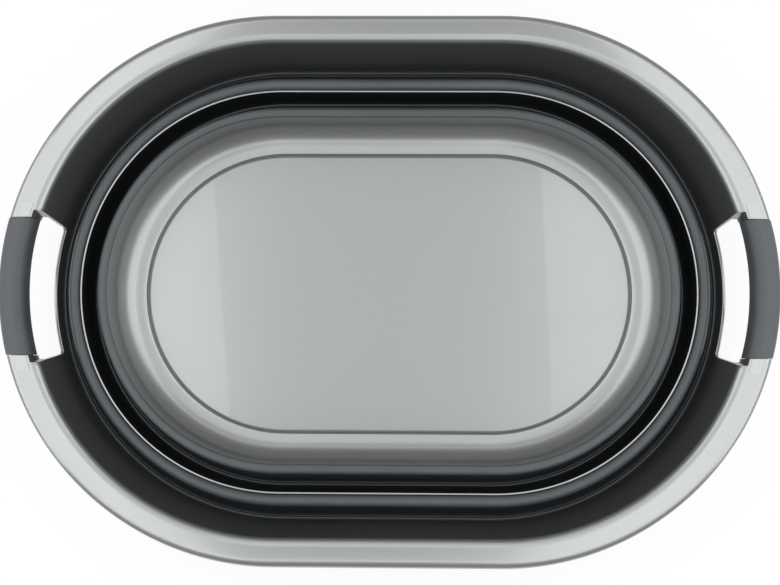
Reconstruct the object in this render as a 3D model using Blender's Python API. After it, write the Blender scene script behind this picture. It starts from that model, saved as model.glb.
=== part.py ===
# Collapsible camp washbasin, folded flat: three rigid oval shells nested inside each other, two
# soft folding bands between them, a soft grip round each carrying handle and four rubber feet
import math

import bmesh
import bpy

# Driving dimensions, in metres, with the floor that the tub stands on at height zero.
# Every ring is an oval of two half circles, whose centres lie SPINE_HALF from the middle.
# Radii run inwards from the rim and heights upwards from the feet, each from its neighbour's.
SPINE_HALF = 0.0916
RIM_OUTER_R = 0.2296
FOLDED_HEIGHT = 0.080
CLEARANCE = 0.0003
OVERRUN = 0.010

# Rim ring: the wall, the crown that rolls over it and the skirt outside
RIM_WIDTH = 0.0256
RIM_DRAFT = 0.0028
RIM_END_REACH = 0.0018
RIM_WALL = 0.0025
RIM_INNER_ROLL = 0.0065
RIM_OUTER_ROLL = 0.0115
CROWN_DROP = 0.0010
RIM_SKIRT_DEPTH = 0.022
RIM_FOOT_Z = 0.008
RIM_INNER_R = RIM_OUTER_R - RIM_WIDTH
RIM_FOOT_R = RIM_INNER_R - RIM_DRAFT
RIM_SKIRT_Z = FOLDED_HEIGHT - RIM_SKIRT_DEPTH

# Hand slots through the end walls, with flared ends, and the carrying handles above them
HANDLE_HALF = 0.057
SLOT_RISE = 0.015
SLOT_TAPER = 0.0015
SLOT_CORNER = 0.0045
SLOT_FLARE = 0.003
SLOT_HEADROOM = 0.001
NOTCH_FLARE = 0.0058
NOTCH_DEPTH = 0.0055
LUG_LAP = 0.002
BAR_LAP = 0.005
GRIP_PROUD = 0.0007
GRIP_WALL = 0.0027
GRIP_INNER_ROLL = 0.0070
GRIP_FOOT_ROLL = 0.0055
SLOT_FOOT_Z = RIM_FOOT_Z + SLOT_RISE
SLOT_HEAD_Z = RIM_SKIRT_Z + SLOT_HEADROOM
NOTCH_HALF = HANDLE_HALF + NOTCH_FLARE
NOTCH_R = RIM_INNER_R + NOTCH_DEPTH
GRIP_INNER_R = NOTCH_R - GRIP_PROUD

# Folding bands of soft elastomer: crest on the inner shell, bead under the outer one
BAND_SKIN = 0.0018
BAND_LIP = 0.0016
BAND_LIP_HEIGHT = 0.0030
BAND_BEAD_CORNER = 0.0014
BAND_BEAD_DEPTH = 0.0044
BAND_TROUGH_ROLL = 0.0010
BAND_INNER_LIP_HEIGHT = 0.0012
UPPER_BAND_SPAN = 0.0292
UPPER_CREST_RISE = 0.0020
UPPER_CREST_ROLL = 0.0042
UPPER_CREST_REACH = 0.0055
UPPER_CAP_CORNER = 0.0053
UPPER_LEG = 0.0100
LOWER_BAND_SPAN = 0.0242
LOWER_CREST_RISE = 0.0030
LOWER_CREST_ROLL = 0.0038
LOWER_CREST_REACH = 0.0017
LOWER_LEG = 0.0100
LOWER_CAP_CORNER = 0.0025

# Middle ring
RING_HEIGHT = 0.0340
RING_DRAFT = 0.0006
RING_FOOT_Z = 0.0100
RING_WALL = 0.0018
RING_EDGE = 0.0004
RING_TOP_R = RIM_FOOT_R - UPPER_BAND_SPAN
RING_FOOT_R = RING_TOP_R - RING_DRAFT
RING_TOP_Z = RING_FOOT_Z + RING_HEIGHT

# Rubber feet pressed into bosses under the floor
FOOT_ANGLE_DEG = 45
FOOT_PAD_HEIGHT = 0.0019
FOOT_PAD_R = 0.0075
FOOT_STEM_R = 0.0060
FOOT_STEM_HEIGHT = 0.0038
FOOT_EDGE = 0.0005
FOOT_BOSS_WALL = 0.0022
FOOT_BOSS_LAP = 0.0010

# Base tray: wall, cove, flat floor with a grooved panel, and the foot ring below
TRAY_DEPTH = 0.0417
TRAY_WALL = 0.0025
TRAY_DRAFT = 0.0005
COVE_ROLL = 0.0205
PANEL_MARGIN = 0.0046
GROOVE_WIDTH = 0.0042
GROOVE_DEPTH = 0.0014
FOOT_RING_OFFSET = 0.0004
FOOT_RING_WIDTH = 0.0040
FOOT_RING_HEIGHT = 0.0058
TRAY_TOP_R = RING_FOOT_R - LOWER_BAND_SPAN
COVE_R = TRAY_TOP_R - TRAY_DRAFT - COVE_ROLL
PANEL_R = COVE_R - PANEL_MARGIN
FOOT_RING_R = PANEL_R + FOOT_RING_OFFSET
FOOT_RING_Z = FOOT_PAD_HEIGHT + CLEARANCE
TRAY_UNDER_Z = FOOT_RING_Z + FOOT_RING_HEIGHT
TRAY_FLOOR_Z = TRAY_UNDER_Z + TRAY_WALL
TRAY_TOP_Z = TRAY_FLOOR_Z + TRAY_DEPTH
FOOT_BOSS_R = FOOT_STEM_R + CLEARANCE + FOOT_BOSS_WALL
FOOT_PLACE_R = FOOT_RING_R + FOOT_BOSS_LAP - FOOT_BOSS_R

# Facets
END_STEPS = 22
FOOT_STEPS = 14
HANDLE_STEPS = 8
SMOOTH_ANGLE_DEG = 32

# Colours of the finished plastics
SILVER = (0.46, 0.48, 0.47, 1.0)
SLATE = (0.125, 0.140, 0.160, 1.0)


def clear_scene():
    for old in list(bpy.data.objects):
        bpy.data.objects.remove(old, do_unlink=True)


def material(name, colour, metallic, roughness):
    made = bpy.data.materials.new(name)
    made.use_nodes = True
    shader = made.node_tree.nodes["Principled BSDF"]
    shader.inputs["Base Color"].default_value = colour
    shader.inputs["Metallic"].default_value = metallic
    shader.inputs["Roughness"].default_value = roughness
    return made


def arc(centre_r, centre_z, roll, start_deg, end_deg, steps):
    """Points of an arc in the radial plane, angles measured from the outward direction."""
    points = []
    for step in range(steps + 1):
        angle = math.radians(start_deg + (end_deg - start_deg) * step / steps)
        points.append((centre_r + roll * math.cos(angle), centre_z + roll * math.sin(angle)))
    return points


def end_reach(radius):
    """The crown reaches a little further at the two ends than along the sides."""
    share = (radius - RIM_INNER_R) / (RIM_OUTER_R - RIM_INNER_R)
    return RIM_END_REACH * min(max(share, 0), 1)


def oval_stations():
    """(side, cosine, sine) of each place along an oval, counterclockwise from above."""
    stations = []
    for side, first_deg in ((1, -90), (-1, 90)):
        for step in range(END_STEPS + 1):
            angle = math.radians(first_deg + 180 * step / END_STEPS)
            stations.append((side, math.cos(angle), math.sin(angle)))
    return stations


def add_object(name, mesh_builder, look=None):
    mesh = bpy.data.meshes.new(name)
    bmesh.ops.recalc_face_normals(mesh_builder, faces=mesh_builder.faces)
    mesh_builder.to_mesh(mesh)
    mesh_builder.free()
    made = bpy.data.objects.new(name, mesh)
    bpy.context.scene.collection.objects.link(made)
    if look:
        mesh.materials.append(look)
        mesh.shade_smooth()
        mesh.set_sharp_from_angle(angle=math.radians(SMOOTH_ANGLE_DEG))
    return made


def bridge(mesh_builder, rings, closed_path, closed_outline):
    """Quads between neighbouring rings of points."""
    count = len(rings[0])
    last_ring = len(rings) if closed_path else len(rings) - 1
    last_point = count if closed_outline else count - 1
    for ring in range(last_ring):
        here = rings[ring]
        there = rings[(ring + 1) % len(rings)]
        for point in range(last_point):
            beyond = (point + 1) % count
            mesh_builder.faces.new((here[point], there[point], there[beyond], here[beyond]))


def oval_rings(mesh_builder, outline):
    """An outline in the radial plane repeated at every station of the oval."""
    rings = []
    for side, cosine, sine in oval_stations():
        ring = []
        for radius, height in outline:
            x = side * (SPINE_HALF + end_reach(radius)) + radius * cosine
            ring.append(mesh_builder.verts.new((x, radius * sine, height)))
        rings.append(ring)
    return rings


def swept_band(name, outline, look):
    """A closed outline carried all the way round the oval."""
    builder = bmesh.new()
    bridge(builder, oval_rings(builder, outline), True, True)
    return add_object(name, builder, look)


def swept_dish(name, outline, look):
    """An open outline carried round, its first and last rings filled with flat faces."""
    builder = bmesh.new()
    rings = oval_rings(builder, outline)
    bridge(builder, rings, True, False)
    builder.faces.new([ring[0] for ring in rings])
    builder.faces.new([ring[-1] for ring in rings])
    return add_object(name, builder, look)


def end_point(side, radius, y, height):
    """A point of an end arc, given by its place across the tub."""
    reach = SPINE_HALF + end_reach(radius)
    return (side * (reach + math.sqrt(radius * radius - y * y)), y, height)


def handle_rings(builder, side, outline, first_y, last_y, steps):
    """A section carried along an end arc between two flat ends square to the tub's width."""
    rings = []
    for step in range(steps + 1):
        y = first_y + (last_y - first_y) * step / steps
        rings.append([builder.verts.new(end_point(side, r, y, z)) for r, z in outline])
    return rings


def add_handle_bar(builder, side, outline, first_y, last_y, steps):
    rings = handle_rings(builder, side, outline, first_y, last_y, steps)
    bridge(builder, rings, False, True)
    builder.faces.new(rings[0])
    builder.faces.new(rings[-1])


def rounded_section(inner_r, outer_r, foot_z, top_z, rolls, steps):
    """A rounded box section. The rolls are those of the inner foot, outer foot, outer top, inner top."""
    inner_foot, outer_foot, outer_top, inner_top = rolls
    points = arc(inner_r + inner_foot, foot_z + inner_foot, inner_foot, 180, 270, steps)
    points += arc(outer_r - outer_foot, foot_z + outer_foot, outer_foot, 270, 360, steps)
    points += arc(outer_r - outer_top, top_z - CROWN_DROP - outer_top, outer_top, 0, 90, steps)
    points += arc(inner_r + inner_top, top_z - inner_top, inner_top, 90, 180, steps)
    return points


def handle_section(inset):
    """The handle's outline, which is flush with the crown, drawn in all round by the inset."""
    rolls = [GRIP_FOOT_ROLL, GRIP_FOOT_ROLL, RIM_OUTER_ROLL, GRIP_INNER_ROLL]
    return rounded_section(
        GRIP_INNER_R + inset,
        RIM_OUTER_R - inset,
        RIM_SKIRT_Z + inset,
        FOLDED_HEIGHT - inset,
        [roll - inset for roll in rolls],
        4,
    )


def lug_section():
    """Fills the hollow of the crown beside a handle, from mid wall to mid wall."""
    inset = RIM_WALL / 2
    rolls = [inset, inset, RIM_OUTER_ROLL - inset, RIM_INNER_ROLL - inset]
    return rounded_section(
        RIM_INNER_R + inset,
        RIM_OUTER_R - inset,
        RIM_SKIRT_Z + inset / 2,
        FOLDED_HEIGHT - inset,
        rolls,
        4,
    )


def slot_profile():
    """(y, z) along the lower edge of the slot and up its flared ends, from one side to the other."""
    flat_half = HANDLE_HALF - SLOT_TAPER - SLOT_CORNER
    head_half = HANDLE_HALF + SLOT_FLARE
    half = []
    for step in range(5):
        angle = math.radians(90 * step / 4)
        y = flat_half + SLOT_CORNER * math.sin(angle)
        half.append((y, SLOT_FOOT_Z + SLOT_CORNER * (1 - math.cos(angle))))
    half.append((head_half, SLOT_HEAD_Z))
    half.append((NOTCH_HALF, FOLDED_HEIGHT))
    flare = (NOTCH_HALF - head_half) / (FOLDED_HEIGHT - SLOT_HEAD_Z)
    half.append((NOTCH_HALF + flare * OVERRUN / 2, FOLDED_HEIGHT + OVERRUN / 2))
    middle = [flat_half * (2 * step / HANDLE_STEPS - 1) for step in range(1, HANDLE_STEPS)]
    mirrored = [(-y, z) for y, z in reversed(half)]
    return mirrored + [(y, SLOT_FOOT_Z) for y in middle] + half


def add_slot_cutter(builder, side):
    """Opens the end wall and the inner flank of the crown."""
    inner_r = RIM_FOOT_R - OVERRUN
    top = FOLDED_HEIGHT + OVERRUN
    rings = []
    for y, z in slot_profile():
        corners = ((inner_r, z), (NOTCH_R, z), (NOTCH_R, top), (inner_r, top))
        rings.append([builder.verts.new(end_point(side, r, y, h)) for r, h in corners])
    bridge(builder, rings, False, True)
    builder.faces.new(rings[0])
    builder.faces.new(rings[-1])


def add_crown_cutter(builder, side):
    """Takes the crown away between the handle's two ends."""
    inner_r = NOTCH_R - RIM_WALL / 2
    outer_r = RIM_OUTER_R + OVERRUN
    foot = RIM_SKIRT_Z - OVERRUN
    top = FOLDED_HEIGHT + OVERRUN
    outline = [(inner_r, foot), (outer_r, foot), (outer_r, top), (inner_r, top)]
    add_handle_bar(builder, side, outline, -HANDLE_HALF, HANDLE_HALF, HANDLE_STEPS)


def helper(name, builder):
    """A body that only a Boolean uses."""
    made = add_object(name, builder)
    made.hide_render = True
    made.display_type = "WIRE"
    return made


def boolean(target, operation, other):
    modifier = target.modifiers.new(operation.lower(), "BOOLEAN")
    modifier.operation = operation
    modifier.solver = "EXACT"
    modifier.object = other


def rim_section():
    inner_centre = RIM_INNER_R + RIM_INNER_ROLL
    outer_centre = RIM_OUTER_R - RIM_OUTER_ROLL
    inner_z = FOLDED_HEIGHT - RIM_INNER_ROLL
    outer_z = FOLDED_HEIGHT - CROWN_DROP - RIM_OUTER_ROLL
    points = [(RIM_FOOT_R, RIM_FOOT_Z)]
    points += arc(inner_centre, inner_z, RIM_INNER_ROLL, 180, 90, 4)
    points += arc(outer_centre, outer_z, RIM_OUTER_ROLL, 90, 0, 6)
    points.append((RIM_OUTER_R, RIM_SKIRT_Z))
    points.append((RIM_OUTER_R - RIM_WALL, RIM_SKIRT_Z))
    points += arc(outer_centre, outer_z, RIM_OUTER_ROLL - RIM_WALL, 0, 90, 4)
    points += arc(inner_centre, inner_z, RIM_INNER_ROLL - RIM_WALL, 90, 180, 3)
    points.append((RIM_FOOT_R + RIM_WALL, RIM_FOOT_Z))
    return points


def make_rim_ring(look):
    rim = swept_band("rim_ring", rim_section(), look)
    lugs = bmesh.new()
    slots = bmesh.new()
    crowns = bmesh.new()
    bars = bmesh.new()
    lug_start = HANDLE_HALF - CLEARANCE
    lug_end = NOTCH_HALF + LUG_LAP
    bar_end = HANDLE_HALF + BAR_LAP
    for side in (-1, 1):
        add_handle_bar(lugs, side, lug_section(), lug_start, lug_end, 1)
        add_handle_bar(lugs, side, lug_section(), -lug_end, -lug_start, 1)
        add_slot_cutter(slots, side)
        add_crown_cutter(crowns, side)
        add_handle_bar(bars, side, handle_section(GRIP_WALL + CLEARANCE), -bar_end, bar_end, HANDLE_STEPS)
    boolean(rim, "UNION", helper("handle_lugs", lugs))
    boolean(rim, "DIFFERENCE", helper("slot_cutters", slots))
    boolean(rim, "DIFFERENCE", helper("crown_cutters", crowns))
    boolean(rim, "UNION", helper("handle_bars", bars))
    return rim


def make_grip(name, side, look):
    """A soft sleeve round the handle bar, flush with the crown at both ends."""
    builder = bmesh.new()
    half = HANDLE_HALF - CLEARANCE
    skin = handle_rings(builder, side, handle_section(0), -half, half, HANDLE_STEPS)
    bore = handle_rings(builder, side, handle_section(GRIP_WALL), -half, half, HANDLE_STEPS)
    bridge(builder, skin, False, True)
    bridge(builder, bore, False, True)
    for end in (0, -1):
        bridge(builder, [skin[end], bore[end]], False, True)
    return add_object(name, builder, look)


def ring_section():
    """Middle ring: a plain wall with a rounded upper edge."""
    top = RING_TOP_Z - RING_EDGE
    points = [(RING_FOOT_R, RING_FOOT_Z)]
    points += arc(RING_TOP_R + RING_EDGE, top, RING_EDGE, 180, 90, 2)
    points += arc(RING_TOP_R + RING_WALL - RING_EDGE, top, RING_EDGE, 90, 0, 2)
    points.append((RING_FOOT_R + RING_WALL, RING_FOOT_Z))
    return points


def band_section(seat_r, seat_z, cap_r, cap_corner, rise, reach, crest_roll, leg, wall_r, wall_z, wall):
    """A folding band: crest beside the inner shell, straight flank, bead under the outer shell.

    The seat is the inner shell's outer face and top edge, and the cap is where the crest starts.
    The crest's top stands above the seat by the rise and outside it by the reach.
    wall_r, wall_z and wall are the outer shell's inner radius, foot and thickness."""
    crest_r = seat_r + reach
    crest_z = seat_z + rise
    crest_centre_z = crest_z - crest_roll
    bead_z = wall_z - BAND_BEAD_DEPTH
    trough_z = bead_z + BAND_SKIN + BAND_TROUGH_ROLL
    inner_lip_r = wall_r - CLEARANCE - BAND_LIP
    # The lean brings the flank down just inside the bead.
    room = inner_lip_r - crest_r - crest_roll - BAND_TROUGH_ROLL * 2
    lean = math.atan2(room, crest_centre_z - trough_z)
    lean_deg = math.degrees(lean)
    # The trough's arc is tangent to the flank and to the floor of the bead.
    tangent_r = crest_r + crest_roll * math.cos(lean)
    tangent_z = crest_centre_z + crest_roll * math.sin(lean)
    drop = tangent_z - trough_z + BAND_TROUGH_ROLL * math.sin(lean)
    trough_r = tangent_r + drop * math.tan(lean) + BAND_TROUGH_ROLL * math.cos(lean)
    lip_r = wall_r + wall + CLEARANCE
    lip_z = wall_z + BAND_LIP_HEIGHT
    corner_r = lip_r + BAND_LIP - BAND_BEAD_CORNER
    points = arc(cap_r + cap_corner, crest_z - cap_corner, cap_corner, 180, 90, 3)
    points += arc(crest_r, crest_centre_z, crest_roll, 90, lean_deg, 4)
    points += arc(trough_r, trough_z, BAND_TROUGH_ROLL, 180 + lean_deg, 270, 3)
    points.append((inner_lip_r, trough_z - BAND_TROUGH_ROLL))
    points.append((inner_lip_r, wall_z + BAND_INNER_LIP_HEIGHT))
    points.append((wall_r - CLEARANCE, wall_z + BAND_INNER_LIP_HEIGHT))
    points.append((wall_r - CLEARANCE, wall_z - CLEARANCE))
    points.append((lip_r, wall_z - CLEARANCE))
    points.append((lip_r, lip_z))
    points.append((lip_r + BAND_LIP, lip_z))
    points += arc(corner_r, bead_z + BAND_BEAD_CORNER, BAND_BEAD_CORNER, 0, -90, 2)
    points += arc(trough_r, trough_z, BAND_TROUGH_ROLL + BAND_SKIN, 270, 180 + lean_deg, 2)
    # Under the crest a half circle joins the flank to the leg, a skin's thickness below the top.
    leg_r = seat_r + BAND_SKIN
    under_r = crest_r + (crest_roll - BAND_SKIN) * math.cos(lean)
    under_z = crest_centre_z + (crest_roll - BAND_SKIN) * math.sin(lean)
    hollow_z = crest_z - BAND_SKIN - (under_r - leg_r) / 2
    hollow_r = under_r + (under_z - hollow_z) * math.tan(lean)
    hollow_roll = (hollow_r - leg_r) / 2
    points += arc(leg_r + hollow_roll, hollow_z, hollow_roll, 0, 180, 3)
    points.append((leg_r, crest_z - leg))
    points.append((seat_r, crest_z - leg))
    if cap_r < seat_r:
        points.append((seat_r, seat_z + CLEARANCE))
        points.append((cap_r, seat_z + CLEARANCE))
    return points


def make_upper_bellows(look):
    """Its crest stands beside the middle ring's upper edge, which stays bare."""
    seat_r = RING_TOP_R + RING_WALL + CLEARANCE
    outline = band_section(
        seat_r,
        RING_TOP_Z,
        seat_r,
        UPPER_CAP_CORNER,
        UPPER_CREST_RISE,
        UPPER_CREST_REACH,
        UPPER_CREST_ROLL,
        UPPER_LEG,
        RIM_FOOT_R,
        RIM_FOOT_Z,
        RIM_WALL,
    )
    return swept_band("upper_bellows", outline, look)


def make_lower_bellows(look):
    """Its crest covers the tray's upper edge."""
    outline = band_section(
        TRAY_TOP_R + TRAY_WALL + CLEARANCE,
        TRAY_TOP_Z,
        TRAY_TOP_R,
        LOWER_CAP_CORNER,
        LOWER_CREST_RISE,
        LOWER_CREST_REACH,
        LOWER_CREST_ROLL,
        LOWER_LEG,
        RING_FOOT_R,
        RING_FOOT_Z,
        RING_WALL,
    )
    return swept_band("lower_bellows", outline, look)


def tray_section():
    """From the edge of the floor panel out over the wall and back to the foot ring below."""
    cove_z = TRAY_FLOOR_Z + COVE_ROLL
    foot_outer_r = FOOT_RING_R + FOOT_RING_WIDTH
    points = [
        (PANEL_R, TRAY_FLOOR_Z),
        (PANEL_R + GROOVE_WIDTH / 2, TRAY_FLOOR_Z - GROOVE_DEPTH / 3),
        (PANEL_R + GROOVE_WIDTH * 3 / 4, TRAY_FLOOR_Z - GROOVE_DEPTH),
        (PANEL_R + GROOVE_WIDTH * 9 / 10, TRAY_FLOOR_Z - GROOVE_DEPTH),
        (PANEL_R + GROOVE_WIDTH, TRAY_FLOOR_Z),
    ]
    points += arc(COVE_R, cove_z, COVE_ROLL, 270, 360, 6)
    points.append((TRAY_TOP_R, TRAY_TOP_Z))
    points.append((TRAY_TOP_R + TRAY_WALL, TRAY_TOP_Z))
    points += arc(COVE_R, cove_z, COVE_ROLL + TRAY_WALL, 360, 270, 5)
    points += [
        (foot_outer_r, TRAY_UNDER_Z),
        (foot_outer_r, FOOT_RING_Z),
        (FOOT_RING_R, FOOT_RING_Z),
        (FOOT_RING_R, TRAY_UNDER_Z),
    ]
    return points


def foot_places():
    angle = math.radians(FOOT_ANGLE_DEG)
    x = SPINE_HALF + FOOT_PLACE_R * math.cos(angle)
    y = FOOT_PLACE_R * math.sin(angle)
    return {
        "foot_front_left": (-x, -y),
        "foot_front_right": (x, -y),
        "foot_back_left": (-x, y),
        "foot_back_right": (x, y),
    }


def add_turned(builder, outline, centre):
    """An open outline turned about an upright axis, with flat ends."""
    rings = []
    for step in range(FOOT_STEPS):
        angle = 2 * math.pi * step / FOOT_STEPS
        ring = []
        for radius, height in outline:
            x = centre[0] + radius * math.cos(angle)
            y = centre[1] + radius * math.sin(angle)
            ring.append(builder.verts.new((x, y, height)))
        rings.append(ring)
    bridge(builder, rings, True, False)
    builder.faces.new([ring[0] for ring in rings])
    builder.faces.new([ring[-1] for ring in rings])


def make_base_tray(look):
    tray = swept_dish("base_tray", tray_section(), look)
    bosses = bmesh.new()
    sockets = bmesh.new()
    boss_top = TRAY_UNDER_Z + TRAY_WALL / 2
    socket_r = FOOT_STEM_R + CLEARANCE
    socket_top = FOOT_RING_Z + FOOT_STEM_HEIGHT + CLEARANCE
    for centre in foot_places().values():
        add_turned(bosses, [(FOOT_BOSS_R, FOOT_RING_Z), (FOOT_BOSS_R, boss_top)], centre)
        add_turned(sockets, [(socket_r, FOOT_RING_Z - OVERRUN), (socket_r, socket_top)], centre)
    boolean(tray, "UNION", helper("foot_bosses", bosses))
    boolean(tray, "DIFFERENCE", helper("foot_sockets", sockets))
    return tray


def make_foot(name, centre, look):
    """A turned rubber plug: a pad below the boss and a stem up its socket."""
    stem_top = FOOT_RING_Z + FOOT_STEM_HEIGHT
    outline = [
        (FOOT_PAD_R - FOOT_EDGE, 0),
        (FOOT_PAD_R, FOOT_EDGE),
        (FOOT_PAD_R, FOOT_PAD_HEIGHT),
        (FOOT_STEM_R, FOOT_PAD_HEIGHT),
        (FOOT_STEM_R, stem_top - FOOT_EDGE),
        (FOOT_STEM_R - FOOT_EDGE, stem_top),
    ]
    builder = bmesh.new()
    add_turned(builder, outline, centre)
    return add_object(name, builder, look)


def main():
    clear_scene()
    make_rim_ring(material("rim_ring", SILVER, 0.55, 0.34))
    make_grip("grip_left", -1, material("grip_left", SLATE, 0, 0.62))
    make_grip("grip_right", 1, material("grip_right", SLATE, 0, 0.62))
    make_upper_bellows(material("upper_bellows", SLATE, 0, 0.5))
    ring_look = material("middle_ring", SILVER, 0.55, 0.3)
    swept_band("middle_ring", ring_section(), ring_look)
    make_lower_bellows(material("lower_bellows", SLATE, 0, 0.5))
    make_base_tray(material("base_tray", SILVER, 0.55, 0.34))
    for name, centre in foot_places().items():
        make_foot(name, centre, material(name, SLATE, 0, 0.7))


main()
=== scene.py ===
# %% [markdown]
# # A folding camp washbasin, folded flat
# The tub is an oval of three hard silver shells, one inside the other, joined by two soft slate bands.
# It lies folded on a white table and is seen from straight above.
# The solid model gives every size and place, and this script gives each piece its finished surface.
# The lesson goes from the outside in: rim, handles, middle ring, bands, tray and feet, then finishes and light.

# %% Frame and first measurements
import bpy
import bmesh
import math
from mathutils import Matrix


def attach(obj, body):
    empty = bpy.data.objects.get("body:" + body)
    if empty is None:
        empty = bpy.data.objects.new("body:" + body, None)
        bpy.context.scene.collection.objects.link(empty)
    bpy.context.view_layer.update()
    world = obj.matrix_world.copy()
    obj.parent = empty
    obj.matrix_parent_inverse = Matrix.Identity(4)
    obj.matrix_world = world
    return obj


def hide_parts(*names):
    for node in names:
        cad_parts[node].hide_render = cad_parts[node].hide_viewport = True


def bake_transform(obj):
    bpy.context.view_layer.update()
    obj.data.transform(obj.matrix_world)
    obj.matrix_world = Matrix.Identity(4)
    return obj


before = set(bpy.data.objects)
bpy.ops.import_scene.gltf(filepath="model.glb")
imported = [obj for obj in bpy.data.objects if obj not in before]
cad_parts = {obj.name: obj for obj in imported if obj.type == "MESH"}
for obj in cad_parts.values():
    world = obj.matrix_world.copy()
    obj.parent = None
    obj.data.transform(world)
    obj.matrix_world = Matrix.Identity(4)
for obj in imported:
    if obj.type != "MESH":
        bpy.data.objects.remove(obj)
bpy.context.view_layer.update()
bpy.ops.object.select_all(action="DESELECT")

# %% [markdown]
# ## Sizes
# Every ring follows one oval: two half circles joined by straight sides.
# Radii are measured from the centres of the half circles, heights from the table.
# They are the sizes of the solid model, so each finished piece lies where its solid lies.
# Only the sizes that neighbours share stand here. The others come with their piece.

# %% Sizes shared by the rings
SPINE = 0.0916  # from the middle of the tub to the centre of each half circle
TOP = 0.080
GAP = 0.0003  # between two pieces that touch on the real tub

CROWN_R = 0.2296
RIM_R = 0.2040
RIM_WALL = 0.0025
WALL_FOOT_R = 0.2012
WALL_FOOT_Z = 0.008
SKIRT_Z = 0.058
CROWN_REACH = 0.0018  # how much further the crown goes at the two ends

RING_R = 0.1720
RING_WALL = 0.0018
RING_TOP = 0.044
RING_FOOT_R = 0.1714
RING_FOOT = 0.010

TRAY_R = 0.1472
TRAY_WALL = 0.0025
TRAY_TOP = 0.0522
print("oval", 2 * (SPINE + CROWN_R + CROWN_REACH), "x", 2 * CROWN_R)

# %% [markdown]
# ## Tools for the rings
# On the real tub each ring is one moulding with the same section all the way round.
# It could be built from stacked and scaled ovals, but then its roundings would change size along the way.
# So one vertex is extruded round the section, corner by corner, each corner is rounded with a vertex bevel,
# and the finished section is spun round the oval, as the mould's steel was turned.

# %% Picking pieces and points
def pick(*pieces):
    """Selects just these pieces. Operators act on the first one."""
    bpy.ops.object.select_all(action="DESELECT")
    for piece in pieces:
        piece.select_set(True)
    bpy.context.view_layer.objects.active = pieces[0]


def edit(piece):
    """Opens one piece for editing with nothing picked."""
    pick(piece)
    bpy.ops.object.mode_set(mode="EDIT")
    bpy.ops.mesh.select_mode(type="VERT")
    bpy.ops.mesh.select_all(action="DESELECT")


def done():
    """Closes the piece that is open for editing."""
    bpy.ops.object.mode_set(mode="OBJECT")


def pick_points(test):
    """Picks the points of the open piece whose place passes the test."""
    cage = bmesh.from_edit_mesh(bpy.context.object.data)
    for point in cage.verts:
        point.select = test(point.co)
    cage.select_flush_mode()
    bmesh.update_edit_mesh(bpy.context.object.data)


# %% Drawing a wire from point to point
SAME_END = 1e-5


def draw_wire(name, points, closed=True):
    """Extrudes one vertex from point to point and leaves the piece open for editing."""
    bpy.ops.object.select_all(action="DESELECT")
    bpy.ops.mesh.primitive_plane_add(size=0.001)
    piece = bpy.context.object
    piece.name = name
    bpy.ops.object.mode_set(mode="EDIT")
    bpy.ops.mesh.select_mode(type="VERT")
    bpy.ops.mesh.merge(type="CENTER")
    bpy.ops.transform.translate(value=points[0])
    for here, there in zip(points, points[1:]):
        step = [ahead - behind for behind, ahead in zip(here, there)]
        bpy.ops.mesh.extrude_region_move(TRANSFORM_OT_translate={"value": step})
    if closed:
        ends = (points[0], points[-1])
        pick_points(lambda co: any(math.dist(co, end) < SAME_END for end in ends))
        bpy.ops.mesh.edge_face_add()
    return piece


# %% Rounding the corners of a section
SAME_CORNER = 1e-6
BROAD_ROLL = 0.015
BROAD_STEP_DEG = 4
SMALL_ROLL = 0.002
SMALL_STEP_DEG = 22
ROLL_STEP_DEG = 6


def corner_cut(before, corner, after):
    """How far a corner is cut back along its two edges, and in how many steps, to round it by its roll."""
    roll = corner[2]
    first = math.atan2(corner[1] - before[1], corner[0] - before[0])
    second = math.atan2(after[1] - corner[1], after[0] - corner[0])
    turn = abs((second - first + math.pi) % (2 * math.pi) - math.pi)
    step_deg = ROLL_STEP_DEG
    if roll > BROAD_ROLL:
        step_deg = BROAD_STEP_DEG
    elif roll <= SMALL_ROLL:
        step_deg = SMALL_STEP_DEG
    return roll * math.tan(turn / 2), max(2, math.ceil(math.degrees(turn) / step_deg))


def draw_section(name, corners, closed=True):
    """A wire section at the front of the right-hand half circle. A corner is (radius, height, roll)."""
    points = [(SPINE, -radius, height) for radius, height, _ in corners]
    piece = draw_wire(name, points, closed)
    for place, corner in enumerate(corners):
        if corner[2] == 0:
            continue
        cut, steps = corner_cut(corners[place - 1], corner, corners[(place + 1) % len(corners)])
        pick_points(lambda co: math.dist(co, points[place]) < SAME_CORNER)
        bpy.ops.mesh.bevel(affect="VERTICES", offset=cut, segments=steps, profile=0.5)
    bpy.ops.mesh.select_all(action="SELECT")
    return piece


# %% Carrying a section round the oval
END_STEPS = 96
SEAM_WIDTH = 0.00001


def close_up():
    """Joins the places where a sweep meets itself and turns every face outwards."""
    bpy.ops.mesh.select_all(action="SELECT")
    bpy.ops.mesh.remove_doubles(threshold=SEAM_WIDTH)
    bpy.ops.mesh.normals_make_consistent(inside=False)
    done()


def reach_out(piece):
    """The crown reaches a little further at the two ends than along the sides."""
    for point in piece.data.vertices:
        beyond = max(abs(point.co.x) - SPINE, 0)
        radius = math.hypot(beyond, point.co.y)
        share = min(max((radius - RIM_R) / (CROWN_R - RIM_R), 0), 1)
        point.co.x += math.copysign(CROWN_REACH * share, point.co.x)


def sweep_oval(piece):
    """Carries the section round the right-hand end and along the back, then round the left-hand end and home."""
    for side in (1, -1):
        bpy.ops.mesh.spin(steps=END_STEPS, angle=-math.pi, center=(side * SPINE, 0, 0), axis=(0, 0, 1))
        bpy.ops.mesh.extrude_region_move(TRANSFORM_OT_translate={"value": (-2 * side * SPINE, 0, 0)})
    close_up()
    reach_out(piece)
    print(piece.name, "swept,", len(piece.data.polygons), "faces")
    return piece


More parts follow.
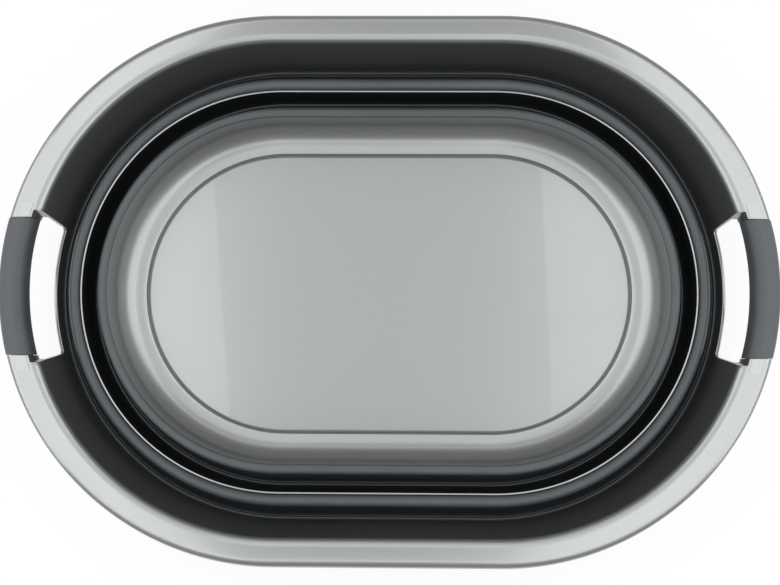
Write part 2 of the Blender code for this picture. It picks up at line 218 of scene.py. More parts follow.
def smooth(piece, sharp_deg=40):
    """Shades a piece smoothly, but keeps the edges that turn more sharply than this."""
    pick(piece)
    bpy.ops.object.shade_smooth_by_angle(angle=math.radians(sharp_deg))
    print(piece.name, len(piece.data.polygons), "faces")
    return piece


# %% [markdown]
# ## Rim ring
# The rim is one stiff moulding: a nearly upright wall, a broad crown rolled over it and a short skirt outside.
# It could be a flat sheet with thickness added, but the crown's inner and outer rolls have their own sizes.
# So it is swept as a closed section that goes up the inside, over the crown and back underneath.
# The small corners at the wall's foot are a bead that stiffens the edge.

# %% Rim wall, crown and skirt
CROWN_DROP = 0.0010
CROWN_FALL = 1.5 * CROWN_DROP
CROWN_INNER_ROLL = 0.0065
CROWN_BEND_R = 0.2236
CROWN_EDGE_R = 0.2266
CROWN_EDGE_Z = 0.0763
CROWN_SIDE_Z = 0.0677
BEAD_ROLL = 0.0007


def crown_height(radius):
    """The crown falls slightly outwards from the inner edge, up to where it bends down."""
    return TOP - CROWN_FALL * (radius - RIM_R) / (CROWN_R - RIM_R)


rim = draw_section(
    "rim_ring_body",
    [
        (WALL_FOOT_R, WALL_FOOT_Z, BEAD_ROLL),
        (WALL_FOOT_R, WALL_FOOT_Z + 0.0015, 0),
        (WALL_FOOT_R - 0.0007, WALL_FOOT_Z + 0.0021, 0.0003),
        (WALL_FOOT_R + 0.0001, WALL_FOOT_Z + 0.0030, 0.0004),
        (RIM_R, TOP, CROWN_INNER_ROLL),
        (CROWN_BEND_R, crown_height(CROWN_BEND_R), 0.0105),
        (CROWN_EDGE_R, CROWN_EDGE_Z, 0.0006),
        (CROWN_R, CROWN_SIDE_Z, 0.0040),
        (CROWN_R, SKIRT_Z, BEAD_ROLL),
        (CROWN_R - RIM_WALL, SKIRT_Z, BEAD_ROLL),
        (CROWN_R - RIM_WALL, TOP - RIM_WALL - 1.4 * CROWN_DROP, 0.0083),
        (RIM_R + RIM_WALL, TOP - RIM_WALL, 0.0040),
        (WALL_FOOT_R + RIM_WALL, WALL_FOOT_Z, BEAD_ROLL),
    ],
)
sweep_oval(rim)

# %% [markdown]
# ## Carrying handles
# Each handle is cut out of the rim's end: a slot through the wall for the fingers and a gap in the crown.
# The crown beside the gap is filled solid, and a slim bar joins the two sides.
# The faces could be cut by hand, but Booleans follow the curve of the end exactly,
# and they follow the order of the real tool's steel: fill, open, join.

# %% Sizes of the handles
HANDLE_HALF = 0.057  # half the length of the gap that the grip fills
NOTCH_HALF = 0.0628  # half the width of the slot where it comes out on top
NOTCH_R = 0.2095
SLOT_FOOT_Z = 0.023
SLOT_FOOT_HALF = 0.0555
SLOT_HEAD_Z = 0.059
SLOT_HEAD_HALF = 0.060
SWING_DEG = 22  # to each side of the end, enough for the longest cutter


# %% Bars and cutters that follow the end of the oval
def end_bar(name, corners, y_from, y_to, steps=40):
    """A section spun round the right-hand end and cut square to the tub's width at both ends."""
    piece = draw_section(name, corners)
    start = math.radians(90 - SWING_DEG)
    middle = (SPINE, 0, 0)
    bpy.ops.transform.rotate(value=-start, orient_axis="Z", center_override=middle)
    bpy.ops.mesh.spin(steps=steps, angle=-2 * math.radians(SWING_DEG), center=middle, axis=(0, 0, 1))
    for place, side in ((y_from, -1), (y_to, 1)):
        bpy.ops.mesh.select_all(action="SELECT")
        bpy.ops.mesh.bisect(plane_co=(0, place, 0), plane_no=(0, side, 0), use_fill=True, clear_outer=True)
    close_up()
    reach_out(piece)
    return piece


def join(pieces):
    pick(*pieces)
    bpy.ops.object.join()
    return pieces[0]


def turn_round(piece):
    """Turns a piece half round the middle of the tub, from the right-hand end to the left."""
    pick(piece)
    bpy.ops.transform.rotate(value=math.pi, orient_axis="Z", center_override=(0, 0, 0))
    bpy.ops.object.transform_apply(location=True, rotation=True, scale=True)


def both_ends(piece):
    """Adds the same shape at the left-hand end."""
    pick(piece)
    bpy.ops.object.duplicate()
    other = bpy.context.object
    turn_round(other)
    return join([piece, other])


def beside_handles(name, corners, y_near, y_far):
    """Four of the same: in front of and behind the handle, at both ends of the tub."""
    return both_ends(join([end_bar(name, corners, *sorted((side * y_near, side * y_far))) for side in (-1, 1)]))


# %% Boolean and bevel modifiers
def apply_modifier(piece, modifier):
    pick(piece)
    bpy.ops.object.modifier_apply(modifier=modifier.name)


def combine(piece, operation, other):
    """Boolean of two closed shapes. The second one is used up."""
    modifier = piece.modifiers.new(operation.lower(), "BOOLEAN")
    modifier.operation = operation
    modifier.solver = "EXACT"
    modifier.object = other
    apply_modifier(piece, modifier)
    print(piece.name, operation.lower(), "with", other.name)
    bpy.data.objects.remove(other)


def round_edges(piece, width, steps, angle_deg):
    """Softens the edges that turn more sharply than the angle."""
    modifier = piece.modifiers.new("soft_edges", "BEVEL")
    modifier.width = width
    modifier.segments = steps
    modifier.limit_method = "ANGLE"
    modifier.angle_limit = math.radians(angle_deg)
    modifier.use_clamp_overlap = True
    apply_modifier(piece, modifier)


# %% Filling the crown beside the handles
BAR_ROLL = 0.0108  # outer upper edge of the grips, and of all that lies inside them
LUG_INSET = RIM_WALL / 2
LUG_FOOT_ROLL = 0.001
LUG_END = NOTCH_HALF + 0.002
lug_corners = [
    (RIM_R + LUG_INSET, SKIRT_Z + LUG_INSET / 2, LUG_FOOT_ROLL),
    (CROWN_R - LUG_INSET, SKIRT_Z + LUG_INSET / 2, LUG_FOOT_ROLL),
    (CROWN_R - LUG_INSET, TOP - LUG_INSET - CROWN_FALL, BAR_ROLL - LUG_INSET),
    (RIM_R + LUG_INSET, TOP - LUG_INSET, CROWN_INNER_ROLL - LUG_INSET),
]
combine(rim, "UNION", beside_handles("lug", lug_corners, HANDLE_HALF - GAP, LUG_END))


# %% [markdown]
# ### Slots and gaps
# Seen from the end, a slot flares a little towards the top. Seen from above, it follows the wall.
# So its cutter is what two simple shapes have in common: a curved band and a flat block with the slot's outline.
# Every cutter stands well clear of the surfaces that it doesn't cut.

# %% The slot's outline as a block
SLOT_FOOT_ROLL = 0.0045
SLOT_HEAD_ROLL = 0.006
BLOCK_HALF = NOTCH_HALF + 0.0007
BLOCK_HEAD_Z = TOP + 0.005
BLOCK_SHIFT = 0.16
BLOCK_DEPTH = 0.08


def slot_block():
    """The slot's outline seen from the end, as a block through the wall."""
    outline = [
        (-SLOT_FOOT_HALF, SLOT_FOOT_Z, SLOT_FOOT_ROLL),
        (SLOT_FOOT_HALF, SLOT_FOOT_Z, SLOT_FOOT_ROLL),
        (SLOT_HEAD_HALF, SLOT_HEAD_Z, SLOT_HEAD_ROLL),
        (BLOCK_HALF, BLOCK_HEAD_Z, 0),
        (-BLOCK_HALF, BLOCK_HEAD_Z, 0),
        (-SLOT_HEAD_HALF, SLOT_HEAD_Z, SLOT_HEAD_ROLL),
    ]
    block = draw_section("slot_block", outline)
    bpy.ops.transform.translate(value=(BLOCK_SHIFT, 0, 0))
    bpy.ops.mesh.edge_face_add()
    bpy.ops.mesh.extrude_region_move(TRANSFORM_OT_translate={"value": (BLOCK_DEPTH, 0, 0)})
    close_up()
    return block


# %% Opening the slots and the gaps in the crown
INSIDE_R = 0.190  # well inside the wall
OUTSIDE_R = 0.245  # well outside the crown
SLOT_BAND_HALF = 0.071
SLOT_BAND_Z = (0.015, 0.088)
CROWN_GAP_R = NOTCH_R - 0.001
CROWN_GAP_Z = (0.048, 0.090)
FINE_STEPS = 64


def square_section(inner_r, outer_r, low, high):
    return [(inner_r, low, 0), (outer_r, low, 0), (outer_r, high, 0), (inner_r, high, 0)]


slot_band = square_section(INSIDE_R, NOTCH_R, *SLOT_BAND_Z)
slot = end_bar("slot", slot_band, -SLOT_BAND_HALF, SLOT_BAND_HALF, FINE_STEPS)
combine(slot, "INTERSECT", slot_block())
combine(rim, "DIFFERENCE", both_ends(slot))
gap_band = square_section(CROWN_GAP_R, OUTSIDE_R, *CROWN_GAP_Z)
combine(rim, "DIFFERENCE", both_ends(end_bar("crown_gap", gap_band, -HANDLE_HALF, HANDLE_HALF)))

# %% [markdown]
# ### Bars
# A stiff bar runs through each grip and carries the load. The photograph doesn't show it,
# so it is drawn as the grip's own section, made smaller all round by the grip's wall.
# It goes a few millimetres into the filled crown at both sides, because a Boolean needs shapes that overlap.

# %% Handle bars
GRIP_R = 0.2088
GRIP_WALL = 0.0027
GRIP_FOOT_ROLL = 0.0055
GRIP_INNER_ROLL = 0.0086
BAR_HALF = HANDLE_HALF + 0.004


def handle_corners(inset):
    """The handle's section, flush with the crown, drawn in all round by the inset."""
    return [
        (GRIP_R + inset, SKIRT_Z + inset, GRIP_FOOT_ROLL - inset),
        (CROWN_R - inset, SKIRT_Z + inset, GRIP_FOOT_ROLL - inset),
        (CROWN_R - inset, TOP - inset - CROWN_FALL, BAR_ROLL - inset),
        (GRIP_R + inset, TOP - inset, GRIP_INNER_ROLL - inset),
    ]


combine(rim, "UNION", both_ends(end_bar("bar", handle_corners(GRIP_WALL + GAP), -BAR_HALF, BAR_HALF)))

# %% Soft edges where the cuts left sharp ones
CUT_CRUMBS = 0.00003  # points closer than this are left over from a cut
CUT_EDGE = 0.00035
CUT_EDGE_STEPS = 2
CUT_EDGE_DEG = 42
edit(rim)
bpy.ops.mesh.select_all(action="SELECT")
bpy.ops.mesh.remove_doubles(threshold=CUT_CRUMBS)
done()
round_edges(rim, CUT_EDGE, CUT_EDGE_STEPS, CUT_EDGE_DEG)
print(rim.name, "edges softened,", len(rim.data.polygons), "faces")

# %% [markdown]
# ### Pads beside the grips
# On the crown beside each grip lies a faint field with straight edges, about a centimetre long.
# A bump pattern could only fake its edge, so it is a real step: a thin curved plate, sunk into the crown
# until a third of a millimetre stands out. It ends on the flat of the crown, so the outline stays clean.

# %% Pads beside the grips
PAD_RISE = 0.0003
PAD_DEPTH = 0.0012
PAD_INNER_R = 0.2112
PAD_OUTER_R = 0.2200
PAD_FROM = HANDLE_HALF + 0.0005
PAD_TO = 0.0687
pad_corners = [
    (PAD_INNER_R, crown_height(PAD_INNER_R) - PAD_DEPTH, 0),
    (PAD_OUTER_R, crown_height(PAD_OUTER_R) - PAD_DEPTH, 0),
    (PAD_OUTER_R, crown_height(PAD_OUTER_R) + PAD_RISE, 0),
    (PAD_INNER_R, crown_height(PAD_INNER_R) + PAD_RISE, 0),
]
combine(rim, "UNION", beside_handles("crown_pad", pad_corners, PAD_FROM, PAD_TO))
smooth(rim)

# %% [markdown]
# ### Grips
# A soft sleeve is moulded over each bar and ends flush with the crown.
# It could be the handle's section with a Solidify modifier, but a sleeve has a real bore,
# so a longer and smaller bar is cut out of it, and only its open edges are rounded afterwards.

# %% Soft grips
GRIP_HALF = HANDLE_HALF - GAP
BORE_HALF = HANDLE_HALF + 0.003
GRIP_EDGE = 0.0004
GRIP_EDGE_STEPS = 3
GRIP_EDGE_DEG = 50


def soft_grip(name):
    """The sleeve of the right-hand handle."""
    skin = end_bar(name, handle_corners(0), -GRIP_HALF, GRIP_HALF, FINE_STEPS)
    combine(skin, "DIFFERENCE", end_bar("bore", handle_corners(GRIP_WALL), -BORE_HALF, BORE_HALF, FINE_STEPS))
    round_edges(skin, GRIP_EDGE, GRIP_EDGE_STEPS, GRIP_EDGE_DEG)
    return skin


grip_left = soft_grip("grip_left_skin")
turn_round(grip_left)
smooth(grip_left)
grip_right = smooth(soft_grip("grip_right_skin"))

# %% [markdown]
# ## Middle ring
# A plain, nearly upright hoop of the same silver plastic. Its upper edge stays bare and catches the light.
# A tube primitive could give the hoop, but not the oval, the lean and the bead, so it is swept like the rim.

# %% Middle ring
ring = draw_section(
    "middle_ring_body",
    [
        (RING_FOOT_R, RING_FOOT, 0.0006),
        (RING_FOOT_R, RING_FOOT + 0.0015, 0),
        (RING_FOOT_R - 0.0006, RING_FOOT + 0.0020, 0.0003),
        (RING_FOOT_R + 0.0001, RING_FOOT + 0.0028, 0.0004),
        (RING_R, RING_TOP, 0.0006),
        (RING_R + RING_WALL, RING_TOP, 0.0007),
        (RING_FOOT_R + RING_WALL, RING_FOOT, 0.0006),
    ],
)
smooth(sweep_oval(ring))

# %% [markdown]
# ## Folding bands
# Each band is a thin soft skin. It grips the inner shell's outside below a rounded crest,
# drops down a straight flank and turns under the outer shell's foot in a bead.
# A cloth simulation could fold it, but the real band is moulded in its folded shape,
# so the section is worked out from the two shells that it joins, and both bands come from one function.

# %% The bands' section
SKIN = 0.0018
LEG = 0.010
BEAD_DEPTH = 0.0044
TROUGH_ROLL = 0.0010
LIP = 0.0016
LIP_HEIGHT = 0.0030
INNER_LIP_HEIGHT = 0.0012
LIP_SLANT = 0.0004
LIP_ROLL = 0.0004
FOOT_ROLL = 0.0005


def band_corners(seat_r, crest_z, crest_r, crest_roll, cap, outer_shell):
    """Corners of a folding band's section, from the leg up over the crest and down to the bead.

    The cap is (radius, height under it, roll), the outer shell's foot (radius, height, wall).
    """
    cap_r, cap_z, cap_roll = cap
    wall_r, wall_z, wall = outer_shell
    bead_z = wall_z - BEAD_DEPTH
    floor_z = bead_z + SKIN
    inner_lip_r = wall_r - GAP - LIP
    lip_r = wall_r + wall + GAP
    room = inner_lip_r - crest_r - crest_roll - 2 * TROUGH_ROLL
    lean = math.atan2(room, crest_z - crest_roll - floor_z - TROUGH_ROLL)
    touch_r = crest_r + crest_roll * math.cos(lean)
    touch_z = crest_z - crest_roll + crest_roll * math.sin(lean)
    skin = SKIN / math.cos(lean)

    def flank(z):
        return touch_r + (touch_z - z) * math.tan(lean)

    corners = [(seat_r, crest_z - LEG, FOOT_ROLL)]
    if cap_r < seat_r:
        corners += [(seat_r, cap_z + GAP, 0), (cap_r, cap_z + GAP, LIP_ROLL)]
    corners += [
        (cap_r, crest_z, cap_roll),
        (flank(crest_z), crest_z, crest_roll),
        (flank(floor_z), floor_z, TROUGH_ROLL),
        (inner_lip_r, floor_z, LIP_ROLL),
        (inner_lip_r, wall_z + INNER_LIP_HEIGHT - LIP_SLANT, 0.0003),
        (wall_r - GAP, wall_z + INNER_LIP_HEIGHT, 0.0002),
        (wall_r - GAP, wall_z - GAP, 0),
        (lip_r, wall_z - GAP, 0),
        (lip_r, wall_z + LIP_HEIGHT, LIP_ROLL),
        (lip_r + LIP, wall_z + LIP_HEIGHT, LIP_ROLL),
        (lip_r + LIP, bead_z, 0.0014),
        (flank(floor_z) - skin + SKIN / 2, bead_z, TROUGH_ROLL + SKIN),
        (flank(crest_z - SKIN) - skin, crest_z - SKIN, crest_roll - SKIN),
        (seat_r + SKIN, crest_z - SKIN, 0.0012),
        (seat_r + SKIN, crest_z - LEG, FOOT_ROLL),
    ]
    return corners


# %% Upper band
UPPER_CREST_Z = 0.046
seat_r = RING_R + RING_WALL + GAP
corners = band_corners(
    seat_r,
    UPPER_CREST_Z,
    crest_r=seat_r + 0.0055,
    crest_roll=0.0042,
    cap=(seat_r, 0, 0.0053),
    outer_shell=(WALL_FOOT_R, WALL_FOOT_Z, RIM_WALL),
)
upper = smooth(sweep_oval(draw_section("upper_bellows_skin", corners)))

# %% Lower band, which caps the tray's wall
LOWER_CREST_Z = 0.0552
seat_r = TRAY_R + TRAY_WALL + GAP
corners = band_corners(
    seat_r,
    LOWER_CREST_Z,
    crest_r=seat_r + 0.0017,
    crest_roll=0.0038,
    cap=(TRAY_R, TRAY_TOP, 0.0025),
    outer_shell=(RING_FOOT_R, RING_FOOT, RING_WALL),
)
lower = smooth(sweep_oval(draw_section("lower_bellows_skin", corners)))

# %% [markdown]
# ## Base tray
# The tray is a shallow dish: upright wall, wide cove, then a flat floor with a fine groove round a panel.
# Underneath is a foot ring. Sweeping a section that starts and ends on the oval's spine closes the floor by itself,
# and the groove is part of the section, so it needs no cut of its own.

# %% Base tray
FLOOR_Z = 0.0105
UNDER_Z = FLOOR_Z - TRAY_WALL
PANEL_R = 0.1216
GROOVE_LIP_R = PANEL_R + 0.0022
GROOVE_R = PANEL_R + 0.0034
GROOVE_END_R = PANEL_R + 0.0039
MARGIN_R = PANEL_R + 0.0042
GROOVE_Z = FLOOR_Z - 0.0015
COVE_R = 0.1262
COVE_ROLL = 0.0205
WALL_R = COVE_R + COVE_ROLL
FOOT_RING_R = 0.1220
FOOT_RING_W = 0.0040
FOOT_RING_Z = 0.0022
tray = draw_section(
    "base_tray_body",
    [
        (0, FLOOR_Z, 0),
        (GROOVE_LIP_R, FLOOR_Z, 0.0045),
        (GROOVE_R, GROOVE_Z, 0.0003),
        (GROOVE_END_R, GROOVE_Z, 0.0002),
        (MARGIN_R, FLOOR_Z, 0.0002),
        (WALL_R, FLOOR_Z, COVE_ROLL),
        (TRAY_R, TRAY_TOP, 0.0006),
        (TRAY_R + TRAY_WALL, TRAY_TOP, 0.0006),
        (WALL_R + TRAY_WALL, UNDER_Z, COVE_ROLL + TRAY_WALL),
        (FOOT_RING_R + FOOT_RING_W, UNDER_Z, 0.0010),
        (FOOT_RING_R + FOOT_RING_W, FOOT_RING_Z, 0.0008),
        (FOOT_RING_R, FOOT_RING_Z, 0.0008),
        (FOOT_RING_R, UNDER_Z, 0.0010),
        (0, UNDER_Z, 0),
    ],
    closed=False,
)
sweep_oval(tray)

# %% [markdown]
# ## Bosses and feet
# Four round pads of soft rubber plug into bosses under the floor. They keep the tub from sliding.
# A boss and its socket are plain cylinders added to the tray and cut out of it.
# The bosses end a hair above the foot ring, because a Boolean leaves slivers where two faces lie in one plane.

# %% Bosses with their sockets
FOOT_PLACE_R = 0.1145
LEAN = math.sqrt(0.5) * FOOT_PLACE_R
BOSS_R = 0.0085
BOSS_FOOT_Z = FOOT_RING_Z + 0.0002
BOSS_HEAD_Z = UNDER_Z + 0.001
SOCKET_FOOT_Z = 0.001
PAD_R = 0.0075
PAD_TOP = 0.0019
STEM_R = 0.0060
STEM_TOP = 0.0060
DISC_POINTS = 48
places = {
    "foot_front_left": (-SPINE - LEAN, -LEAN),
    "foot_front_right": (SPINE + LEAN, -LEAN),
    "foot_back_left": (-SPINE - LEAN, LEAN),
    "foot_back_right": (SPINE + LEAN, LEAN),
}


def turned(name, place, radius, foot, height, rounding=0):
    """A disc started from a cylinder, its rim rounded."""
    bpy.ops.object.select_all(action="DESELECT")
    middle = (place[0], place[1], foot + height / 2)
    bpy.ops.mesh.primitive_cylinder_add(vertices=DISC_POINTS, radius=radius, depth=height, location=middle)
    bpy.ops.object.transform_apply(location=True, rotation=True, scale=True)
    piece = bpy.context.object
    piece.name = name
    if rounding:
        round_edges(piece, rounding, 3, 60)
    return piece


def four(name, radius, foot, head):
    """The same plain disc at each of the four places, joined into one piece."""
    return join([turned(name, place, radius, foot, head - foot) for place in places.values()])


combine(tray, "UNION", four("boss", BOSS_R, BOSS_FOOT_Z, BOSS_HEAD_Z))
combine(tray, "DIFFERENCE", four("socket", STEM_R + GAP, SOCKET_FOOT_Z, STEM_TOP + GAP))
smooth(tray)

# %% Rubber feet
PAD_EDGE = 0.0005
DISH_EDGE = 0.0010
DISH_DEPTH = 0.0003
DISH_WITHIN = PAD_R - 0.0012
STEM_WITHIN = STEM_R + 0.0002
NEAR_FACE = 0.0001
FACES_UP = 0.99


def rubber_foot(name, place):
    """A pad with a dished face underneath and a stem above."""
    pad = turned(name + "_pad", place, PAD_R, 0, PAD_TOP, PAD_EDGE)
    edit(pad)
    bpy.ops.mesh.select_mode(type="FACE")
    cage = bmesh.from_edit_mesh(pad.data)
    for face in cage.faces:
        face.select = abs(face.normal.z) > FACES_UP
    bpy.ops.mesh.inset(thickness=DISH_EDGE)

    def within(co, radius):
        return math.dist(co.xy, place) < radius

    pick_points(lambda co: co.z < NEAR_FACE and within(co, DISH_WITHIN))
    bpy.ops.transform.translate(value=(0, 0, DISH_DEPTH))
    pick_points(lambda co: co.z > PAD_TOP - NEAR_FACE and within(co, STEM_WITHIN))
    bpy.ops.mesh.extrude_region_move(TRANSFORM_OT_translate={"value": (0, 0, STEM_TOP - PAD_TOP)})
    close_up()
    return smooth(pad)


feet = {name: rubber_foot(name, place) for name, place in places.items()}

# %% [markdown]
# ## Surfaces
# A finish could be painted on an image, but a pattern worked out by nodes has no seams and any sharpness.
# All patterns are worked out from the place on the object, so they stay put when a piece moves.
# A few helpers keep the recipes short: each adds one node and returns what it works out.

# %% Helpers for materials
def new_look(name):
    look = bpy.data.materials.new(name)
    look.use_nodes = True
    return look


def feed(look, socket, value):
    """Gives a socket a number, a colour or what another node works out."""
    if isinstance(value, tuple):
        socket.default_value = (*value, 1)
    elif isinstance(value, (int, float)):
        socket.default_value = value
    else:
        look.node_tree.links.new(value, socket)


def work_out(look, kind, result, inputs, **settings):
    """Adds a node with its settings, feeds its inputs and returns one of its results."""
    made = look.node_tree.nodes.new(kind)
    for setting, value in settings.items():
        setattr(made, setting, value)
    for socket, value in inputs.items():
        feed(look, made.inputs[socket], value)
    return made.outputs[result]


def place_on(look):
    return work_out(look, "ShaderNodeTexCoord", "Object", {})


def axis_of(look, where, axis):
    return work_out(look, "ShaderNodeSeparateXYZ", axis, {"Vector": where})


def noise(look, where, scale, detail=3, roughness=0.5):
    inputs = {"Vector": where, "Scale": scale, "Detail": detail, "Roughness": roughness}
    return work_out(look, "ShaderNodeTexNoise", "Fac", inputs)


def spread(look, value, low, high, to_low, to_high):
    """Carries one range of values to another, without going past its ends."""
    inputs = {"Value": value, "From Min": low, "From Max": high, "To Min": to_low, "To Max": to_high}
    return work_out(look, "ShaderNodeMapRange", "Result", inputs)


def by_noise(look, value, to_low, to_high):
    """Carries the range that holds most of a noise to another."""
    return spread(look, value, 0.3, 0.7, to_low, to_high)


def reckon(look, first, operation, second=0):
    return work_out(look, "ShaderNodeMath", "Value", {0: first, 1: second}, operation=operation)


def mix_colour(look, share, first, second):
    return work_out(look, "ShaderNodeMix", "Result", {"Factor": share, "A": first, "B": second}, data_type="RGBA")


GRAIN_DEPTH = 0.0001
EDGE_STARTS = 0.52  # a flat has a pointiness of 0.5


def bumps(look, height, strength):
    inputs = {"Height": height, "Strength": strength, "Distance": GRAIN_DEPTH}
    return work_out(look, "ShaderNodeBump", "Normal", inputs)


def worn_edges(look, full):
    """0 on flats and in hollows, 1 on edges that stand out fully."""
    return spread(look, work_out(look, "ShaderNodeNewGeometry", "Pointiness", {}), EDGE_STARTS, full, 0, 1)


# %% [markdown]
# ### Tint and painted shade of the tray
# The tray's wall and cove have painted shade in their colour, darker as they turn away from the light into the
# fold, the panel is a shade darker and greener, and the groove round it has a painted shadow.
# Each could be a piece of its own, but it is one moulding,
# so masks on height and on the oval's own radius lay the tint and the painted shade over one silver.

# %% Tint and painted shade laid over the tray's silver
PANEL_SHADE = (0.285, 0.312, 0.292)
# Painted shadow: the groove's dark colour stands for the shade that falls into its narrow recess.
GROOVE_PAINTED_SHADOW = (0.10, 0.11, 0.105)
# Painted shade: the wall and the cove are darkened as they turn away from the light into the fold.
WALL_PAINTED_SHADE = (0.20, 0.21, 0.205)
COVE_PAINTED_SHADE = (0.24, 0.25, 0.245)

# The share of the panel tint and of each painted shade at its fullest, and the radii or heights over which it comes
# or goes.
PANEL_SHARE = 0.55
PANEL_ENDS_R = (PANEL_R, PANEL_R + 0.003)
GROOVE_SHADOW_SHARE = 0.75
GROOVE_STARTS_R = (PANEL_R + 0.0026, PANEL_R + 0.0034)
GROOVE_ENDS_R = (PANEL_R + 0.0040, PANEL_R + 0.0044)
WALL_SHADE_SHARE = 0.6
WALL_STARTS_Z = (FLOOR_Z + 0.013, FLOOR_Z + 0.027)
COVE_SHADE_SHARE = 0.30
COVE_STARTS_Z = (FLOOR_Z + 0.0006, FLOOR_Z + 0.003)


def oval_radius(look, where):
    """Distance from the oval's spine, as all the radii are measured."""
    beyond = reckon(look, reckon(look, axis_of(look, where, "X"), "ABSOLUTE"), "SUBTRACT", SPINE)
    beyond = reckon(look, beyond, "MAXIMUM", 0)
    squares = [reckon(look, part, "POWER", 2) for part in (beyond, axis_of(look, where, "Y"))]
    return reckon(look, reckon(look, squares[0], "ADD", squares[1]), "POWER", 0.5)


# Lays the panel's darker, greener tint, then painted shadow in the groove and painted shade on the cove and wall.
def tray_tint_and_painted_shade(look, where, body):
    radius = oval_radius(look, where)
    height = axis_of(look, where, "Z")
    body = mix_colour(look, spread(look, radius, *PANEL_ENDS_R, PANEL_SHARE, 0), body, PANEL_SHADE)
    # Painted shadow along the groove round the panel.
    into = spread(look, radius, *GROOVE_STARTS_R, 0, GROOVE_SHADOW_SHARE)
    out_of = spread(look, radius, *GROOVE_ENDS_R, 0, GROOVE_SHADOW_SHARE)
    body = mix_colour(look, reckon(look, into, "SUBTRACT", out_of), body, GROOVE_PAINTED_SHADOW)
    # Painted shade, rising with height up the cove and the wall.
    body = mix_colour(look, spread(look, height, *WALL_STARTS_Z, 0, WALL_SHADE_SHARE), body, WALL_PAINTED_SHADE)
    return mix_colour(look, spread(look, height, *COVE_STARTS_Z, 0, COVE_SHADE_SHARE), body, COVE_PAINTED_SHADE)


# %% [markdown]
# ### Silver plastic
# The shells are plastic full of fine metal flake under a glossy skin, so they shine broadly and sharply at once:
# a nearly metallic body with a soft shine, and a coat that mirrors the lamps clearly.
# A fully metallic finish would be too contrasty, and a plain plastic too white.
# The tray's cove is duller than its panel, so its shine fades smoothly from floor to wall.

# %% Silver plastic
FLAKE_SCALE = 2600
SILVER_CLOUDS = 9
FLAKE_DARK = (0.325, 0.340, 0.332)
FLAKE_LIGHT = (0.395, 0.412, 0.403)
CLOUD_SHADE = (0.31, 0.32, 0.315)
CLOUD_SHARE = 0.12
WORN_SILVER = (0.50, 0.51, 0.505)
WORN_SHARE = 0.25
SILVER_ROUGH = (0.285, 0.335)
WORN_ROUGHER = 0.06
COVE_ROUGHER = 0.15
COVE_ROUGHER_Z = (FLOOR_Z + 0.003, FLOOR_Z + 0.010)
COAT_WEIGHT = 0.7
COAT_IOR = 1.8
SILVER_TINT = (0.35, 0.35, 0.35)
COVE_COAT_ROUGH = 0.42
COVE_COAT_Z = (FLOOR_Z + 0.0008, FLOOR_Z + 0.007)


def silver_plastic(name, metal, coat_rough, tray=False):
    """Silver with flake, clouds and worn edges. The tray has its panel tint, its painted shade and shadow, and a
    duller cove.
    """
    look = new_look(name)
    shader = look.node_tree.nodes["Principled BSDF"]
    where = place_on(look)
    flake = noise(look, where, FLAKE_SCALE, 1)
    clouds = noise(look, where, SILVER_CLOUDS, 4, 0.6)
    worn = worn_edges(look, 0.60)
    body = mix_colour(look, by_noise(look, flake, 0, 1), FLAKE_DARK, FLAKE_LIGHT)
    body = mix_colour(look, by_noise(look, clouds, 0, CLOUD_SHARE), body, CLOUD_SHADE)
    gloss = by_noise(look, clouds, *SILVER_ROUGH)
    gloss = reckon(look, gloss, "ADD", spread(look, worn, 0, 1, 0, WORN_ROUGHER))
    polish = coat_rough
    if tray:
        height = axis_of(look, where, "Z")
        body = tray_tint_and_painted_shade(look, where, body)
        gloss = reckon(look, gloss, "ADD", spread(look, height, *COVE_ROUGHER_Z, 0, COVE_ROUGHER))
        polish = spread(look, height, *COVE_COAT_Z, coat_rough, COVE_COAT_ROUGH)
    body = mix_colour(look, spread(look, worn, 0, 1, 0, WORN_SHARE), body, WORN_SILVER)
    finish = {
        "Base Color": body,
        "Roughness": gloss,
        "Normal": bumps(look, flake, 0.05),
        "Metallic": metal,
        "Specular Tint": SILVER_TINT,
        "Coat Weight": COAT_WEIGHT,
        "Coat Roughness": polish,
        "Coat IOR": COAT_IOR,
    }
    for socket, value in finish.items():
        feed(look, shader.inputs[socket], value)
    print(name, len(look.node_tree.nodes), "nodes")
    return look


silver = silver_plastic("silver_plastic", 0.87, 0.12)
silver_ring = silver_plastic("silver_plastic_ring", 1.0, 0.06)
silver_tray = silver_plastic("silver_plastic_tray", 0.87, 0.02, tray=True)

# %% [markdown]
# ### Slate elastomer
# The soft pieces are matt, with a fine moulded grain, a little dust and paler rubbed edges.
# Deep in a fold hardly any light arrives. The render's own shadows stay too bright there,
# so a band's flank gets darker and duller between its lip and its crest.

# %% Slate elastomer
GRAIN_SCALE = 1500
SLATE_CLOUDS = 14
DUST_SCALE = 320
DUST_STARTS = (0.62, 0.75)
DUST_SHARE = 0.10
RUBBED_SHARE = 0.3
SLATE_SHINE = 0.6

FOLD_SHADE = (0.012, 0.013, 0.015)
FOLD_SHARE = 0.8
FOLD_SHINE = 0.2
LIP_CLEAR_Z = (0.0125, 0.0140)
CREST_DEPTH = (0.0085, 0.0025)  # below the crest, where the fold ends


